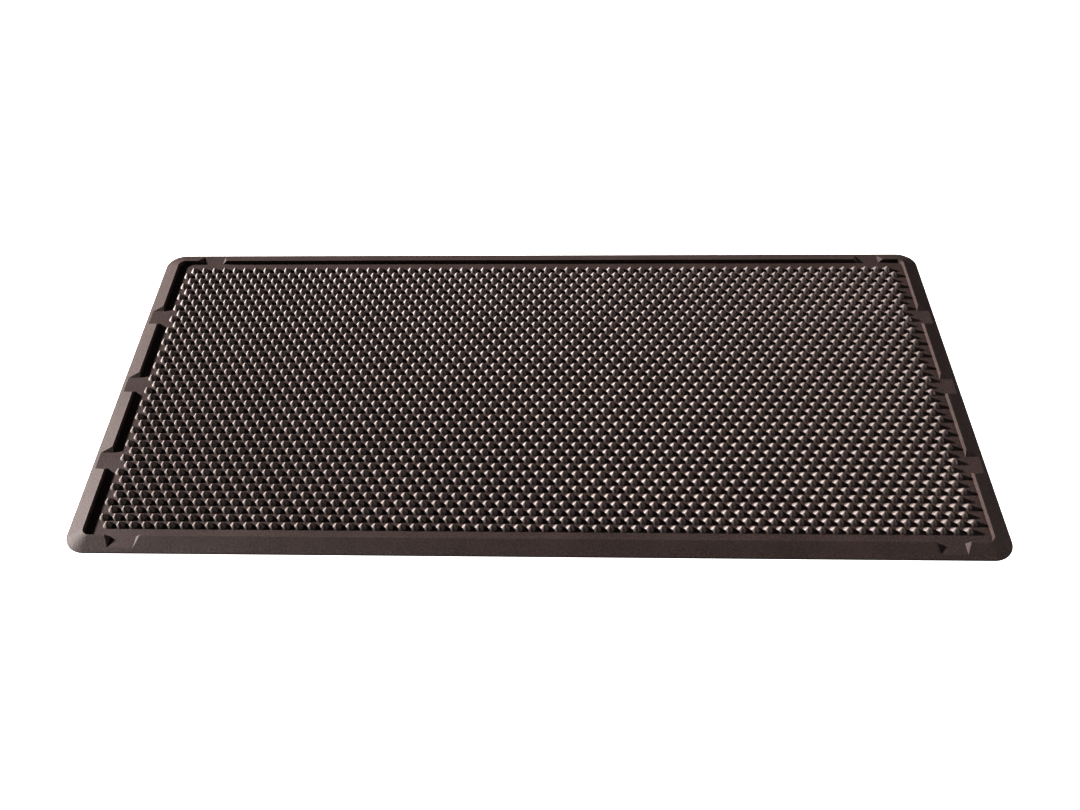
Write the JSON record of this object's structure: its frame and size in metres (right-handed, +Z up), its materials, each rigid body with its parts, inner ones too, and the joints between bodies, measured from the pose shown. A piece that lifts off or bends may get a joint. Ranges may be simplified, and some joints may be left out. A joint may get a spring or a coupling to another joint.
{
  "type": "doormat",
  "caption": "Rectangular moulded rubber scraper doormat with a bevelled raised rim, drain gaps in the rim and a field of staggered pointed studs.",
  "frame": {"origin": "middle of the footprint, on the ground", "axes": "+X along the length, +Y across the mat to its back edge, +Z up"},
  "size_m": [1.524, 0.762, 0.014],
  "materials": {
    "sheet_rubber": "fine matt moulded grain, dark cocoa brown",
    "rim_rubber": "fine satin moulded grain, dark cocoa brown",
    "stud_rubber": "satin moulded rubber, dark cocoa brown"
  },
  "bodies": {
    "root": {"base_sheet": "sheet_rubber", "front_rail": "rim_rubber", "back_rail": "rim_rubber", "left_bar_front": "rim_rubber", "left_bar_back": "rim_rubber", "right_bar_front": "rim_rubber", "right_bar_back": "rim_rubber", "corner_front_left": "rim_rubber", "corner_front_right": "rim_rubber", "corner_back_left": "rim_rubber", "corner_back_right": "rim_rubber", "stud_band_01": "stud_rubber", "stud_band_02": "stud_rubber", "stud_band_03": "stud_rubber", "stud_band_04": "stud_rubber", "stud_band_05": "stud_rubber", "stud_band_06": "stud_rubber", "stud_band_07": "stud_rubber", "stud_band_08": "stud_rubber", "stud_band_09": "stud_rubber", "stud_band_10": "stud_rubber"}
  },
  "joints": []
}
